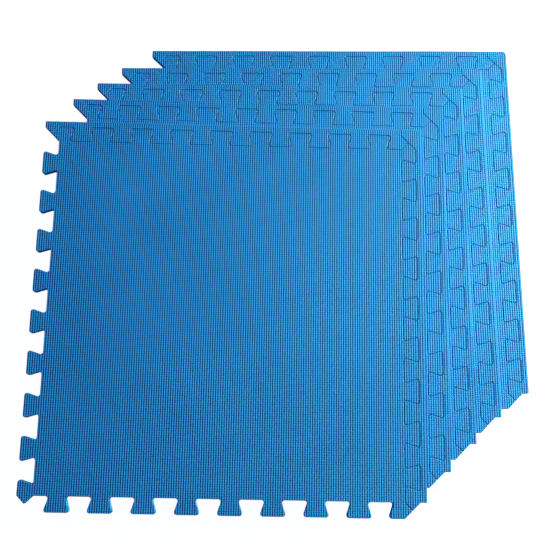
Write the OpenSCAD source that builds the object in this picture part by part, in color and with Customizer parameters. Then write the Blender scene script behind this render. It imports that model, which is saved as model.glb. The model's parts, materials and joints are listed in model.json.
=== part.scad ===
// A fanned pile of five interlocking foam mats, lying flat.
// Each mat is a square tile with dovetail tabs on all four sides, a straight
// border strip locked into its far side and a corner border strip locked into
// its right side. Mat 1 is on top and mat 5 lies on the floor.
// The origin is the middle of the underside of the bottom tile.

/* [Tile] */
// Side of the square that one tile takes up in a laid floor
cell = 610; // [580:1:640]
// Thickness of the foam sheet
thickness = 12; // [8:0.5:20]
// Number of tabs along each side
tabs = 9; // [8:1:10]
// Depth of the tabs
tab_depth = 25; // [20:0.5:27]
// Width of a tab at its tip, where it is widest
head_w = 42; // [38:0.5:46]
// Radius of the corners of the tabs
tab_round = 4; // [1:0.5:5]
// Radius of the 45 degree corners of a tile and of the ends of its strips
end_round = 1; // [0.5:0.25:1.5]

/* [Border strips] */
// Solid margin of a border strip beyond the tab tips
margin = 10.5; // [6:0.5:14]
// Radius of the outer corner of a mat
outer_round = 7; // [2:0.5:10]
// Gap between a border strip and the edge that it locks into
fit_gap = 0.3; // [0.2:0.05:0.6]

/* [Pile] */
// Shift to the right from each mat to the mat under it, top pair first
step_right = [43, 42.5, 43.5, 52]; // [36:0.5:70]
// Shift to the back from each mat to the mat under it, top pair first
step_back = [46, 39.5, 39, 39.5]; // [36:0.5:70]
// Turn from each mat to the mat under it, top pair first, in degrees
step_turn = [0, 0.8, 0.7, 0]; // [-1:0.1:1]
// Gap between one mat and the next
layer_gap = 0.3; // [0.2:0.1:1]

/* [Hidden] */

mats = 5;
pitch = cell / tabs;
// Half the side of a tile, measured between the bases of its tabs
half = (cell - tab_depth) / 2;
// The first tab of a side sits this far in from the corner, and tabs of
// neighbouring tiles then fall half a pitch apart
corner_inset = (pitch / 2 - tab_depth) / 2;
neck_w = pitch - head_w;
flank = atan((head_w - neck_w) / 2 / tab_depth);
// A gap measured square to the flank widens the slot by this much at each side
flank_gap = fit_gap / cos(flank) + fit_gap * tan(flank);
diagonal_gap = fit_gap / sqrt(2);
// How far a gap moves the meeting point of a straight edge and a 45 degree edge
bevel_gap = fit_gap * tan(22.5);
// Flat steps that a rounded corner is drawn with
round_steps = 5;

// ---- Outlines -------------------------------------------------------------
// A corner is [x, y, radius]. Every side is drawn as the near side of the tile,
// running left to right, and turned into place afterwards.

function unit(v) = v / norm(v);

function turned(points, angle) = [
    for (p = points)
        [p[0] * cos(angle) - p[1] * sin(angle), p[0] * sin(angle) + p[1] * cos(angle), p[2]]
];

// The points of an arc that touches both edges of a corner
function arc(at, back, ahead, radius) =
    let (
        half_angle = acos(back * ahead) / 2,
        centre = at + unit(back + ahead) * radius / sin(half_angle),
        start = at + back * radius / tan(half_angle) - centre,
        turn = sign(back[1] * ahead[0] - back[0] * ahead[1]) * (180 - 2 * half_angle)
    )
    [
        for (s = [0:1 / round_steps:1])
            centre + [
                start[0] * cos(turn * s) - start[1] * sin(turn * s),
                start[0] * sin(turn * s) + start[1] * cos(turn * s)
            ]
    ];

function rounded(corners) = [
    for (i = [0:len(corners) - 1])
        let (
            last = corners[(i + len(corners) - 1) % len(corners)],
            here = corners[i],
            next = corners[(i + 1) % len(corners)],
            at = [here[0], here[1]],
            back = unit([last[0], last[1]] - at),
            ahead = unit([next[0], next[1]] - at)
        )
        for (p = here[2] == 0 ? [at] : arc(at, back, ahead, here[2]))
            p
];

// Middle of tab k, where tab 0 is the one in the corner
function tab_x(k) = half - corner_inset - k * pitch;

// The two corners on the left and the two on the right of one tab, or of the
// slot around it when there is a gap
function tab_left(x, gap, widen) = [
    [x - neck_w / 2 - widen, -half - gap, tab_round],
    [x - head_w / 2 - widen, -half - tab_depth - gap, tab_round]
];
function tab_right(x, gap, widen) = [
    [x + head_w / 2 + widen, -half - tab_depth - gap, tab_round],
    [x + neck_w / 2 + widen, -half - gap, tab_round]
];

// Every tab of a side up to the left flank of the corner tab
function tab_row(gap = 0, widen = 0) = [
    for (k = [tabs - 1:-1:0])
        for (p = concat(tab_left(tab_x(k), gap, widen), k > 0 ? tab_right(tab_x(k), gap, widen) : []))
            p
];

// The corner tab ends in a 45 degree point, so four tiles close up at a corner
function tile_side() = concat(tab_row(), [
    [half, -half - tab_depth, end_round],
    [half + tab_depth / 2, -half - tab_depth / 2, end_round],
    [half, -half, end_round]
]);

function tile_corners() = [
    for (quarter = [0:3])
        for (p = turned(tile_side(), quarter * 90))
            p
];

// The near end of a strip fills the 45 degree notch beside the tile's point
function strip_start() = [
    [-half + fit_gap, -half - tab_depth - margin, end_round],
    [-half + fit_gap, -half - tab_depth - fit_gap, 0],
    [-half - tab_depth / 2 + diagonal_gap, -half - tab_depth / 2 - diagonal_gap, end_round],
    [-half + bevel_gap, -half - fit_gap, end_round]
];

// The far end of a straight strip
function straight_end() = [
    [half + bevel_gap, -half - tab_depth - fit_gap, end_round],
    [half + tab_depth / 2 + diagonal_gap, -half - tab_depth / 2 - diagonal_gap, end_round],
    [half + tab_depth, -half - tab_depth, 0],
    [half + tab_depth, -half - tab_depth - margin, end_round]
];

// The far end of a corner strip, which carries the outer corner of the mat
function corner_end() = [
    [half + bevel_gap, -half - tab_depth - fit_gap, end_round],
    [half + tab_depth + 2 * diagonal_gap, -half, 0],
    [half + tab_depth + margin, -half, end_round],
    [half + tab_depth + margin, -half - tab_depth - margin, outer_round]
];

// ---- Pieces ---------------------------------------------------------------

module sheet(corners) {
    linear_extrude(height = thickness)
        polygon(rounded(corners));
}

// Puts a piece of a mat where that mat lies in the pile
function total(steps, from) = from >= mats ? 0 : steps[from - 1] + total(steps, from + 1);

module place(mat) {
    translate([-total(step_right, mat), -total(step_back, mat), (mats - mat) * (thickness + layer_gap)])
        rotate(-total(step_turn, mat))
            children();
}

module tile(mat) {
    color("royalblue")
        place(mat)
            sheet(tile_corners());
}

module end_border(mat) {
    color("steelblue")
        place(mat)
            rotate(180)
                sheet(concat(strip_start(), tab_row(fit_gap, flank_gap), straight_end()));
}

module corner_border(mat) {
    color("dodgerblue")
        place(mat)
            rotate(90)
                sheet(concat(strip_start(), tab_row(fit_gap, flank_gap), corner_end()));
}

tile(1);  // tile_1
end_border(1);  // end_border_1
corner_border(1);  // corner_border_1
tile(2);  // tile_2
end_border(2);  // end_border_2
corner_border(2);  // corner_border_2
tile(3);  // tile_3
end_border(3);  // end_border_3
corner_border(3);  // corner_border_3
tile(4);  // tile_4
end_border(4);  // end_border_4
corner_border(4);  // corner_border_4
tile(5);  // tile_5
end_border(5);  // end_border_5
corner_border(5);  // corner_border_5
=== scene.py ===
import json
import math

import bmesh
import bpy
import numpy as np
from mathutils import Matrix, Vector, noise


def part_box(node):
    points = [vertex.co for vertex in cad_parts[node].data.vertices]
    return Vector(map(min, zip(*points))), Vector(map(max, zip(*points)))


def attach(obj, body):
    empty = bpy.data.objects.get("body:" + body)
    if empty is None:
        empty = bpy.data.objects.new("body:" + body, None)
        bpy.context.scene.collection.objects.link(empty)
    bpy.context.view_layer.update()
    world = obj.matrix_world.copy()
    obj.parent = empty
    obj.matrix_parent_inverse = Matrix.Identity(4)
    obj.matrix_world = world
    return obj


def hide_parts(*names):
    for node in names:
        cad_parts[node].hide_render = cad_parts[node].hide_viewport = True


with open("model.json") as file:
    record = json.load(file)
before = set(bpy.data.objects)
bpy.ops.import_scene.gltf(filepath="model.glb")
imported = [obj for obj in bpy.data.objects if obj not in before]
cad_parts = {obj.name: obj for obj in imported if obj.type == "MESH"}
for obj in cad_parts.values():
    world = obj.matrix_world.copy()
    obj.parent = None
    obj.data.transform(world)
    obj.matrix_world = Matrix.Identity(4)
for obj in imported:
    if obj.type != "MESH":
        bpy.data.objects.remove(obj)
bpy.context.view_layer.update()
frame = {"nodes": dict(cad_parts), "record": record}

# ---- Sizes, in metres ------------------------------------------------------

MM = 0.001
MATS = 5
KINDS = ("tile", "end_border", "corner_border")

# The embossed skin: fine ribs along Y, crossed by shallower rows
RIB_PITCH = 3.81 * MM
ROW_PITCH = 3.70 * MM
GROOVE_DEPTH = 0.75 * MM
SHOULDER_DEPTH = 0.10 * MM
SHOULDER_AT = 0.24          # share of a rib, on each side of its groove
ROW_DEPTH = 0.25 * MM
BAND = 16 * MM              # spacing of the cuts across the ribs
CUT_TOLERANCE = 0.001 * MM  # points closer than this are one point
PLANE_TOLERANCE = 1e-7      # a corner this close to a cutting plane lies on it

# The cut edge: the skin rolls over at the top, and the wall swells until neighbours all but touch
TOP_ROUND = 1.4 * MM
GUARD = 0.5 * MM            # a narrow flat ring that keeps the roll's shading off the face
FOOT_ROUND = 0.8 * MM
SWELL = 0.13 * MM
ROUND_STEPS = 5
FOOT_ANGLES = (0, 45, 90)
WALL_SHARES = (0.3, 0.5, 0.7, 1)    # heights of the rings between the foot and the roll
PROUD = 0.25 * MM           # the border strips stand this much above the tile, under the mat above

# How the soft foam strays from its drawn outline, the same at one place for every piece
STRAY_BROAD = 0.5 * MM
STRAY_FINE = 0.12 * MM
STRAY_SEED = 7
BROAD_WAVES = 6             # noise cells in a metre
FINE_WAVES = 60


# ---- The mats, as the frame has them ---------------------------------------

def mount(name):
    return next(m for m in frame["record"]["mounts"] if m["name"] == name)


def mat_place(mat):
    """The middle of a mat's tile at its underside, with the mat's turn."""
    low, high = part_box(f"tile_{mat}")
    axis = mount(f"near_tab_edge_{mat}")["axis"]
    turn = math.atan2(axis[0], -axis[1])
    middle = Vector(((low.x + high.x) / 2, (low.y + high.y) / 2, low.z))
    return Matrix.Translation(middle) @ Matrix.Rotation(turn, 4, "Z")


def outline_of(node, mat):
    """A flat node's outline, anticlockwise, in its mat's own coordinates."""
    mesh = frame["nodes"][node].data
    to_mat = mat_place(mat).inverted()
    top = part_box(node)[1].z
    sides = set()
    points = {}
    for face in mesh.polygons:
        corners = [mesh.vertices[v].co for v in face.vertices]
        if min(c.z for c in corners) < top - 0.1 * MM:
            continue
        keys = [(round(c.x, 6), round(c.y, 6)) for c in corners]
        for key, corner in zip(keys, corners):
            points[key] = (to_mat @ corner).to_2d()
        sides.update(zip(keys, keys[1:] + keys[:1]))
    after = {a: b for a, b in sides if (b, a) not in sides}
    ring = [min(after)]
    while after[ring[-1]] != ring[0]:
        ring.append(after[ring[-1]])
    return [points[key] for key in ring]


def thickness_of(node):
    low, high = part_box(node)
    return high.z - low.z


# ---- Building a sheet of foam ----------------------------------------------

def meeting_point(place, way, other_place, other_way):
    """Where two lines cross, or halfway between them if they run the same way."""
    across = way.cross(other_way)
    if abs(across) < 1e-6:
        return (place + other_place) / 2
    return place + way * ((other_place - place).cross(other_way) / across)


def inset_ring(ring, distance):
    """The ring moved inwards. A side that the move would turn back on itself closes up to a point."""
    count = len(ring)
    ways = [(ring[(i + 1) % count] - ring[i]).normalized() for i in range(count)]
    inwards = [Vector((-way.y, way.x)) * distance for way in ways]
    sides = list(range(count))
    while True:
        starts = {}
        for before, side in zip([sides[-1]] + sides[:-1], sides):
            end_of_before = ring[(before + 1) % count] + inwards[before]
            start_of_side = ring[side] + inwards[side]
            starts[side] = meeting_point(end_of_before, ways[before], start_of_side, ways[side])
        kept = [side for side, after in zip(sides, sides[1:] + sides[:1])
                if (starts[after] - starts[side]).dot(ways[side]) > 0]
        if len(kept) == len(sides):
            break
        sides = kept
    moved = []
    place = starts[sides[0]]
    for i in reversed(range(count)):
        place = starts.get(i, place)
        moved.append(place)
    return moved[::-1]


def wall_profile(thickness):
    """(inset, height) pairs of the cut wall, from its foot up to where the skin starts."""
    profile = []
    for degrees in FOOT_ANGLES:
        angle = math.radians(degrees)
        profile.append((FOOT_ROUND * (1 - math.sin(angle)), FOOT_ROUND * (1 - math.cos(angle))))
    for share in WALL_SHARES:
        height = FOOT_ROUND + (thickness - FOOT_ROUND - TOP_ROUND) * share
        profile.append((-SWELL * (share < 1), height))
    return profile


def roll_profile(thickness):
    """(inset, height) pairs of the skin's rolled edge, from the wall up to the flat top."""
    profile = []
    for step in range(1, ROUND_STEPS + 1):
        angle = math.radians(90 * step / ROUND_STEPS)
        profile.append((TOP_ROUND * (1 - math.cos(angle)), thickness - TOP_ROUND * (1 - math.sin(angle))))
    profile.append((TOP_ROUND + GUARD, thickness))
    return profile


def cut_across(bm, faces, places, axis):
    """Cuts a set of faces at each place along an axis, halving the set as it goes."""
    if not places or not faces:
        return
    middle = len(places) // 2
    geom = dict.fromkeys(faces)
    for face in faces:
        geom.update(dict.fromkeys([*face.verts, *face.edges]))
    point, normal = Vector(), Vector()
    point[axis], normal[axis] = places[middle], 1
    result = bmesh.ops.bisect_plane(bm, geom=list(geom), dist=PLANE_TOLERANCE,
                                    plane_co=point, plane_no=normal)
    sides = ([], [])
    for item in result["geom"]:
        if isinstance(item, bmesh.types.BMFace):
            sides[item.calc_center_bounds()[axis] > places[middle]].append(item)
    cut_across(bm, sides[0], places[:middle], axis)
    cut_across(bm, sides[1], places[middle + 1:], axis)


def rib_places(low, high):
    """Where the ribs' grooves, shoulders and crowns cross a span."""
    first, last = math.floor(low / RIB_PITCH), math.ceil(high / RIB_PITCH)
    shares = (0, SHOULDER_AT, 0.5, 1 - SHOULDER_AT)
    places = [(rib + share) * RIB_PITCH for rib in range(first, last) for share in shares]
    return [p for p in places if low < p < high]


def rib_drop(x):
    """How far the skin lies under the rib crowns at x."""
    share = abs((x / RIB_PITCH + 0.5) % 1 - 0.5)
    if share < SHOULDER_AT:
        return GROOVE_DEPTH + (SHOULDER_DEPTH - GROOVE_DEPTH) * share / SHOULDER_AT
    return SHOULDER_DEPTH * (0.5 - share) / (0.5 - SHOULDER_AT)


def turn_at(last, here, ahead):
    """The turn to the left made at a vertex, from one edge to the next."""
    come, go = here.co - last.co, ahead.co - here.co
    return math.atan2(come.x * go.y - come.y * go.x, come.x * go.x + come.y * go.y)


def crossings(outline, x):
    """How far along Y a closed outline crosses an upright line."""
    ahead = np.roll(outline, -1, axis=0)
    crossed = (outline[:, 0] > x) != (ahead[:, 0] > x)
    (x0, y0), (x1, y1) = outline[crossed].T, ahead[crossed].T
    return y0 + (x - x0) * (y1 - y0) / (x1 - x0)


def cut_into_slats(bm, top, places):
    """Cuts the flat top, a polygon with corners on every cutting line, into upright slats.

    Each slat is walked round, always taking the sharpest turn to the left. No slat is made of a
    walk that does not close up.
    """
    ring = [loop.vert for loop in top.loops]
    outline = np.array([vert.co.to_2d() for vert in ring])
    ways = {here: [ahead] for here, ahead in zip(ring, ring[1:] + ring[:1])}
    on_line = {}
    for vert in ring:
        on_line.setdefault(round(vert.co.x / CUT_TOLERANCE), []).append(vert)
    for place in places:
        key = round(place / CUT_TOLERANCE)
        stops = [v for near in (key - 1, key, key + 1) for v in on_line.get(near, [])]
        stops.sort(key=lambda vert: vert.co.y)
        crossed = crossings(outline, place)
        for low, high in zip(stops, stops[1:]):
            neighbours = high in ways[low] or low in ways[high]
            if not neighbours and (crossed > (low.co.y + high.co.y) / 2).sum() % 2:
                ways[low].append(high)
                ways[high].append(low)
    bm.faces.remove(top)
    left = dict.fromkeys((here, ahead) for here in ways for ahead in ways[here])
    while left:
        start = next(iter(left))
        del left[start]
        corners = [start[0]]
        last, here = start
        while here is not start[0] and len(corners) < len(ring):
            corners.append(here)
            onward = [v for v in ways[here] if v is not last]
            last, here = here, max(onward, key=lambda v: turn_at(last, here, v))
            left.pop((last, here), None)
        if here is start[0]:
            bm.faces.new(corners)


def ring_of_verts(bm, points, height):
    """A vertex for each point, shared by neighbours that lie in one place."""
    verts = []
    for point in points:
        if not verts or (verts[-1].co.to_2d() - point).length > CUT_TOLERANCE:
            verts.append(bm.verts.new((point.x, point.y, height)))
        else:
            verts.append(verts[-1])
    return verts


def foam_sheet(name, ring, thickness):
    """A closed sheet with cut walls, a rolled edge and a ribbed top, in its mat's own coordinates."""
    bm = bmesh.new()
    walls, rolls = wall_profile(thickness), roll_profile(thickness)
    loops = [ring_of_verts(bm, inset_ring(ring, inset), height) for inset, height in walls + rolls]
    roll = []
    for level, (lower, upper) in enumerate(zip(loops, loops[1:])):
        for i in range(len(ring)):
            j = (i + 1) % len(ring)
            corners = list(dict.fromkeys((lower[i], lower[j], upper[j], upper[i])))
            if len(corners) < 3:
                continue
            face = bm.faces.new(corners)
            if level >= len(walls) - 1:
                roll.append(face)
            else:
                face.material_index = 1
    top = bm.faces.new(list(dict.fromkeys(loops[-1])))
    bm.faces.new(list(dict.fromkeys(reversed(loops[0])))).material_index = 1
    xs, ys = [p.x for p in ring], [p.y for p in ring]
    places = rib_places(min(xs), max(xs))
    cut_across(bm, roll, places, 0)
    cut_into_slats(bm, top, places)
    skin = [f for f in bm.faces if f.material_index == 0]
    bands = range(math.ceil(min(ys) / BAND), math.floor(max(ys) / BAND) + 1)
    cut_across(bm, skin, [band * BAND for band in bands], 1)
    for vert in bm.verts:
        on_skin = (vert.co.z - (thickness - TOP_ROUND)) / TOP_ROUND
        if on_skin > 0:
            vert.co.z -= rib_drop(vert.co.x) * on_skin ** 2
    weave = bm.loops.layers.uv.new("weave")
    for face in bm.faces:
        face.smooth = True
        for loop in face.loops:
            loop[weave].uv = (loop.vert.co.x / RIB_PITCH, loop.vert.co.y / ROW_PITCH)
    mesh = bpy.data.meshes.new(name)
    bm.to_mesh(mesh)
    bm.free()
    return mesh


def stray(point):
    """How far the foam's outline strays at a place on the floor plan."""
    broad = noise.noise_vector(Vector((point.x * BROAD_WAVES, point.y * BROAD_WAVES, 1.5))) * STRAY_BROAD
    fine = noise.noise_vector(Vector((point.x * FINE_WAVES, point.y * FINE_WAVES, 4.5))) * STRAY_FINE
    return Vector((broad.x + fine.x, broad.y + fine.y, 0))


def place_piece(kind, mat, mesh, materials):
    """One piece of one mat, standing for its CAD node."""
    node = f"{kind}_{mat}"
    piece = bpy.data.objects.new(f"{node}_foam", mesh.copy())
    bpy.context.scene.collection.objects.link(piece)
    piece.data.transform(mat_place(mat))
    if kind != "tile":
        piece.data.transform(Matrix.Translation((0, 0, PROUD)))
    for vert in piece.data.vertices:
        vert.co += stray(vert.co)
    for material in materials:
        piece.data.materials.append(material)
    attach(piece, f"mat_{mat}" if kind == "tile" else node)
    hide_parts(node)


# ---- Looks -----------------------------------------------------------------

# Linear colours: rib tops, painted shade for the grooves and cell pits, the cut wall and the tint of its
# shine
RIDGE = (0.036, 0.450, 0.960, 1)
HOLLOW_SHADE = (0.000, 0.010, 0.190, 1)
CUT = (0.020, 0.420, 0.930, 1)
SHEEN = (0.25, 0.85, 1.0, 1)
ROW_SHADE = 0.65            # how dark the painted shade of the cross rows is, beside the grooves
CELL_DEPTH = 0.10 * MM      # pits of the foam's closed cells on a cut wall
CELL_SCALE = 1400           # cells in a metre
KNIFE_MARK = 0.05 * MM
GRAIN_HEIGHT = 0.02 * MM


def new_material(name):
    material = bpy.data.materials.new(name)
    material.use_nodes = True
    material.node_tree.nodes.clear()
    return material, material.node_tree


def add(tree, kind, inputs=None, **settings):
    """A new shader node, with its inputs set from numbers or joined to sockets."""
    made = tree.nodes.new("ShaderNode" + kind)
    for key, value in settings.items():
        setattr(made, key, value)
    for key, value in (inputs or {}).items():
        if isinstance(value, bpy.types.NodeSocket):
            tree.links.new(value, made.inputs[key])
        else:
            made.inputs[key].default_value = value
    return made


def calc(tree, operation, *values):
    return add(tree, "Math", dict(enumerate(values)), operation=operation).outputs[0]


def smooth_step(tree, value, low, high, at_low, at_high):
    inputs = {"Value": value, "From Min": low, "From Max": high, "To Min": at_low, "To Max": at_high}
    return add(tree, "MapRange", inputs, interpolation_type="SMOOTHSTEP").outputs["Result"]


def fleck(tree, place, scale, detail, low, high):
    """Soft noise, spread between two values."""
    grain = add(tree, "TexNoise", {"Vector": place, "Scale": scale, "Detail": detail, "Roughness": 0.6})
    return smooth_step(tree, grain.outputs["Fac"], 0.25, 0.75, low, high)


def blend_colour(tree, share, first, second):
    made = add(tree, "Mix", {"Factor": share}, data_type="RGBA")
    for socket, value in ((made.inputs[6], first), (made.inputs[7], second)):
        if isinstance(value, bpy.types.NodeSocket):
            tree.links.new(value, socket)
        else:
            socket.default_value = value
    return made.outputs[2]


def skin_material():
    """The moulded face: matt blue foam, embossed like a fine weave."""
    material, tree = new_material("embossed_foam_skin")
    place = add(tree, "TexCoord").outputs["Object"]
    weave = add(tree, "SeparateXYZ", {0: add(tree, "UVMap", uv_map="weave").outputs[0]})
    across, along = weave.outputs["X"], weave.outputs["Y"]
    rib = smooth_step(tree, calc(tree, "PINGPONG", across, 0.5), 0.10, 0.40, 1, 0)
    row = smooth_step(tree, calc(tree, "PINGPONG", along, 0.5), 0.02, 0.26, 1, 0)
    # random fading of the painted shade in the grooves and rows
    shade_fade = fleck(tree, place, 9, 3, 0.90, 1.0)
    # painted shade: the grooves and cross rows are darkened in the colour, standing in for their shadow
    painted_shade = calc(tree, "MAXIMUM", rib, calc(tree, "MULTIPLY", row, ROW_SHADE))
    painted_shade = calc(tree, "MULTIPLY", painted_shade, shade_fade)
    colour = blend_colour(tree, painted_shade, RIDGE, HOLLOW_SHADE)
    tone = fleck(tree, place, 3.5, 4, 0.93, 1.06)
    grain = fleck(tree, place, 900, 2, 0.90, 1.10)
    colour = add(tree, "VectorMath", {0: colour, 1: calc(tree, "MULTIPLY", tone, grain)},
                 operation="MULTIPLY").outputs[0]
    rough = calc(tree, "ADD", fleck(tree, place, 14, 3, 0.38, 0.46), calc(tree, "MULTIPLY", painted_shade, 0.2))
    height = calc(tree, "MULTIPLY", row, -ROW_DEPTH)
    height = calc(tree, "ADD", height, fleck(tree, place, 1100, 2, -GRAIN_HEIGHT, GRAIN_HEIGHT))
    bump = add(tree, "Bump", {"Height": height, "Strength": 1.0, "Distance": 1.0})
    foam = add(tree, "BsdfPrincipled", {
        "Base Color": colour, "Roughness": rough, "IOR": 1.5, "Specular IOR Level": 0.8,
        "Specular Tint": SHEEN, "Normal": bump.outputs["Normal"]})
    add(tree, "OutputMaterial", {"Surface": foam.outputs[0]})
    return material


def cut_material():
    """The die-cut wall: the foam's own fine closed cells, with no skin on them."""
    material, tree = new_material("cut_foam_wall")
    place = add(tree, "TexCoord").outputs["Object"]
    cells = add(tree, "TexVoronoi", {"Vector": place, "Scale": CELL_SCALE}).outputs["Distance"]
    pit = smooth_step(tree, cells, 0.0, 0.6, 1, 0)
    streak = add(tree, "Mapping", {"Vector": place, "Scale": (1, 1, 0.15)}).outputs[0]
    tone = fleck(tree, streak, 160, 3, 0.88, 1.1)
    # painted shade: the cells' pits are darkened in the colour, standing in for their shadow
    colour = blend_colour(tree, calc(tree, "MULTIPLY", pit, 0.5), CUT, HOLLOW_SHADE)
    colour = add(tree, "VectorMath", {0: colour, 1: tone}, operation="MULTIPLY").outputs[0]
    height = calc(tree, "MULTIPLY", pit, -CELL_DEPTH)
    height = calc(tree, "ADD", height, fleck(tree, streak, 240, 3, -KNIFE_MARK, KNIFE_MARK))
    bump = add(tree, "Bump", {"Height": height, "Strength": 1.0, "Distance": 1.0})
    foam = add(tree, "BsdfPrincipled", {
        "Base Color": colour, "Roughness": fleck(tree, place, 30, 2, 0.66, 0.8), "IOR": 1.45,
        "Specular Tint": SHEEN, "Normal": bump.outputs["Normal"]})
    add(tree, "OutputMaterial", {"Surface": foam.outputs[0]})
    return material


# ---- Floor, light and camera -----------------------------------------------

FLOOR_REACH = 8
FLOOR_GAP = 0.2 * MM        # the floor lies this much under the bottom mat
SKY = (0.30, 0.40, 1, 1)
WHITE = (1, 1, 1, 1)
FILL = 0.21                 # strength of the sky as a light
SEEN_WHITE = 0.95           # strength of the sky as the camera sees it
FIELD_OF_VIEW = 37.94
CAMERA_PLACE = (-0.1240, -0.3553, 1.3619)
CAMERA_TURN = (11.198, -1.043, -0.379)


def floor_material():
    """A white sweep that stays white to the camera, with only a trace of shadow."""
    material, tree = new_material("white_sweep")
    seen = add(tree, "LightPath").outputs["Is Camera Ray"]
    shade = calc(tree, "ADD", 0.08, calc(tree, "MULTIPLY", seen, 0.25))
    grey = add(tree, "CombineColor", {0: shade, 1: shade, 2: shade}).outputs[0]
    paper = add(tree, "BsdfDiffuse", {"Color": grey})
    glow = add(tree, "Emission", {"Strength": calc(tree, "MULTIPLY", seen, 0.96)})
    both = add(tree, "AddShader", {0: paper.outputs[0], 1: glow.outputs[0]})
    add(tree, "OutputMaterial", {"Surface": both.outputs[0]})
    return material


def make_floor():
    mesh = bpy.data.meshes.new("floor")
    corners = [(x * FLOOR_REACH, y * FLOOR_REACH, 0) for x, y in ((-1, -1), (1, -1), (1, 1), (-1, 1))]
    mesh.from_pydata(corners, [], [(0, 1, 2, 3)])
    mesh.materials.append(floor_material())
    floor = bpy.data.objects.new("floor", mesh)
    floor.location.z = -FLOOR_GAP
    bpy.context.scene.collection.objects.link(floor)


def area_light(name, place, target, size, power, colour):
    light = bpy.data.lights.new(name, "AREA")
    light.shape = "DISK"
    light.size = size
    light.energy = power
    light.color = colour
    lamp = bpy.data.objects.new(name, light)
    lamp.location = place
    lamp.rotation_euler = (Vector(target) - Vector(place)).to_track_quat("-Z", "Y").to_euler()
    bpy.context.scene.collection.objects.link(lamp)


def make_world():
    """Dim bluish fill light that looks as white as the floor to the camera."""
    world = bpy.data.worlds.new("studio")
    world.use_nodes = True
    tree = world.node_tree
    tree.nodes.clear()
    seen = add(tree, "LightPath").outputs["Is Camera Ray"]
    colour = blend_colour(tree, seen, SKY, WHITE)
    strength = calc(tree, "ADD", FILL, calc(tree, "MULTIPLY", seen, SEEN_WHITE - FILL))
    back = add(tree, "Background", {"Color": colour, "Strength": strength})
    add(tree, "OutputWorld", {"Surface": back.outputs[0]})
    bpy.context.scene.world = world


def make_lights():
    make_world()
    area_light("key", (1.90, 0.52, 1.02), (-0.05, -0.05, 0.05), size=0.5, power=104, colour=(1, 1, 0.79))
    area_light("overhead", (-0.2, 0.4, 2.6), (-0.1, -0.1, 0.05), size=1.6, power=7, colour=(0.5, 0.6, 1))


def make_camera():
    data = bpy.data.cameras.new("camera")
    data.angle = math.radians(FIELD_OF_VIEW)
    camera = bpy.data.objects.new("camera", data)
    camera.location = CAMERA_PLACE
    camera.rotation_euler = [math.radians(a) for a in CAMERA_TURN]
    bpy.context.scene.collection.objects.link(camera)
    bpy.context.scene.camera = camera
    bpy.context.scene.view_settings.view_transform = "Standard"


# ---- The scene -------------------------------------------------------------

noise.seed_set(STRAY_SEED)
materials = (skin_material(), cut_material())
for kind in KINDS:
    pattern = f"{kind}_{MATS}"
    sheet = foam_sheet(kind, outline_of(pattern, MATS), thickness_of(pattern))
    for mat in range(1, MATS + 1):
        place_piece(kind, mat, sheet, materials)
    bpy.data.meshes.remove(sheet)
make_floor()
make_lights()
make_camera()
